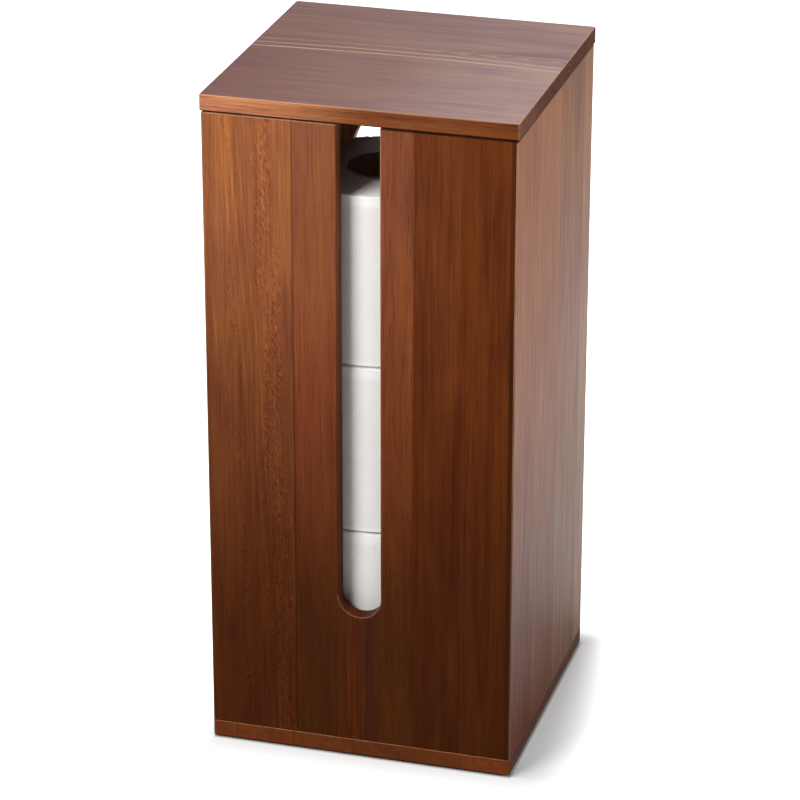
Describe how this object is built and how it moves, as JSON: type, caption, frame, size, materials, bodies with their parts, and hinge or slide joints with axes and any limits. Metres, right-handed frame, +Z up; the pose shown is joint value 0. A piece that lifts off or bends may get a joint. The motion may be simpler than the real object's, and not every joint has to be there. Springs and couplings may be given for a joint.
{
  "type": "freestanding toilet paper holder",
  "caption": "Square timber case with mitred corners, a lift-off lid, a round-footed front slot and a large back opening, holding spare toilet paper rolls in a stack on a raised floor.",
  "frame": {"origin": "on the ground, under the middle of the case", "axes": "+Z up, -Y out of the front with the slot, +X to the right as seen from the front"},
  "size_m": [0.1792, 0.1766, 0.395],
  "materials": {
    "base_wood": "walnut stained glued-up board, satin lacquer",
    "front_wood": "walnut stained glued-up board, upright grain, satin lacquer",
    "back_wood": "walnut stained glued-up board, upright grain, satin lacquer",
    "side_wood": "walnut stained glued-up board, upright grain, satin lacquer",
    "inner_wood": "walnut stained softwood, matt",
    "lid_wood": "walnut stained glued-up board, grain from side to side, satin lacquer",
    "cleat_wood": "walnut stained batten, matt",
    "screw_steel": "zinc plated",
    "pad_rubber": "matt black",
    "tissue": "soft embossed tissue paper",
    "core_board": "plain grey-brown spiral wound board"
  },
  "bodies": {
    "case": {"base_board": "base_wood", "front_panel": "front_wood", "back_panel": "back_wood", "left_side_panel": "side_wood", "right_side_panel": "side_wood", "inner_floor": "inner_wood", "left_floor_bearer": "inner_wood", "right_floor_bearer": "inner_wood", "wall_screws": "screw_steel", "bearer_screws": "screw_steel", "foot_pads": "pad_rubber"},
    "lid": {"lid_board": "lid_wood", "left_lid_cleat": "cleat_wood", "right_lid_cleat": "cleat_wood", "cleat_screws": "screw_steel", "lid_bumpers": "pad_rubber"},
    "bottom_roll": {"bottom_roll_paper": "tissue", "bottom_roll_core": "core_board"},
    "middle_roll": {"middle_roll_paper": "tissue", "middle_roll_core": "core_board"},
    "top_roll": {"top_roll_paper": "tissue", "top_roll_core": "core_board"}
  },
  "joints": [
    {"name": "lid_lift", "type": "slide", "parent": "case", "child": "lid", "axis": [0, 0, 1], "range_m": [0, 0.15]},
    {"name": "bottom_roll_spin", "type": "hinge", "parent": "case", "child": "bottom_roll", "pos_m": [-0.0033, -0.0237, 0.0863], "axis": [0, 0, 1], "continuous": true},
    {"name": "middle_roll_spin", "type": "hinge", "parent": "case", "child": "middle_roll", "pos_m": [-0.0033, -0.0237, 0.1882], "axis": [0, 0, 1], "continuous": true},
    {"name": "top_roll_spin", "type": "hinge", "parent": "case", "child": "top_roll", "pos_m": [-0.0033, -0.0237, 0.2901], "axis": [0, 0, 1], "continuous": true}
  ]
}
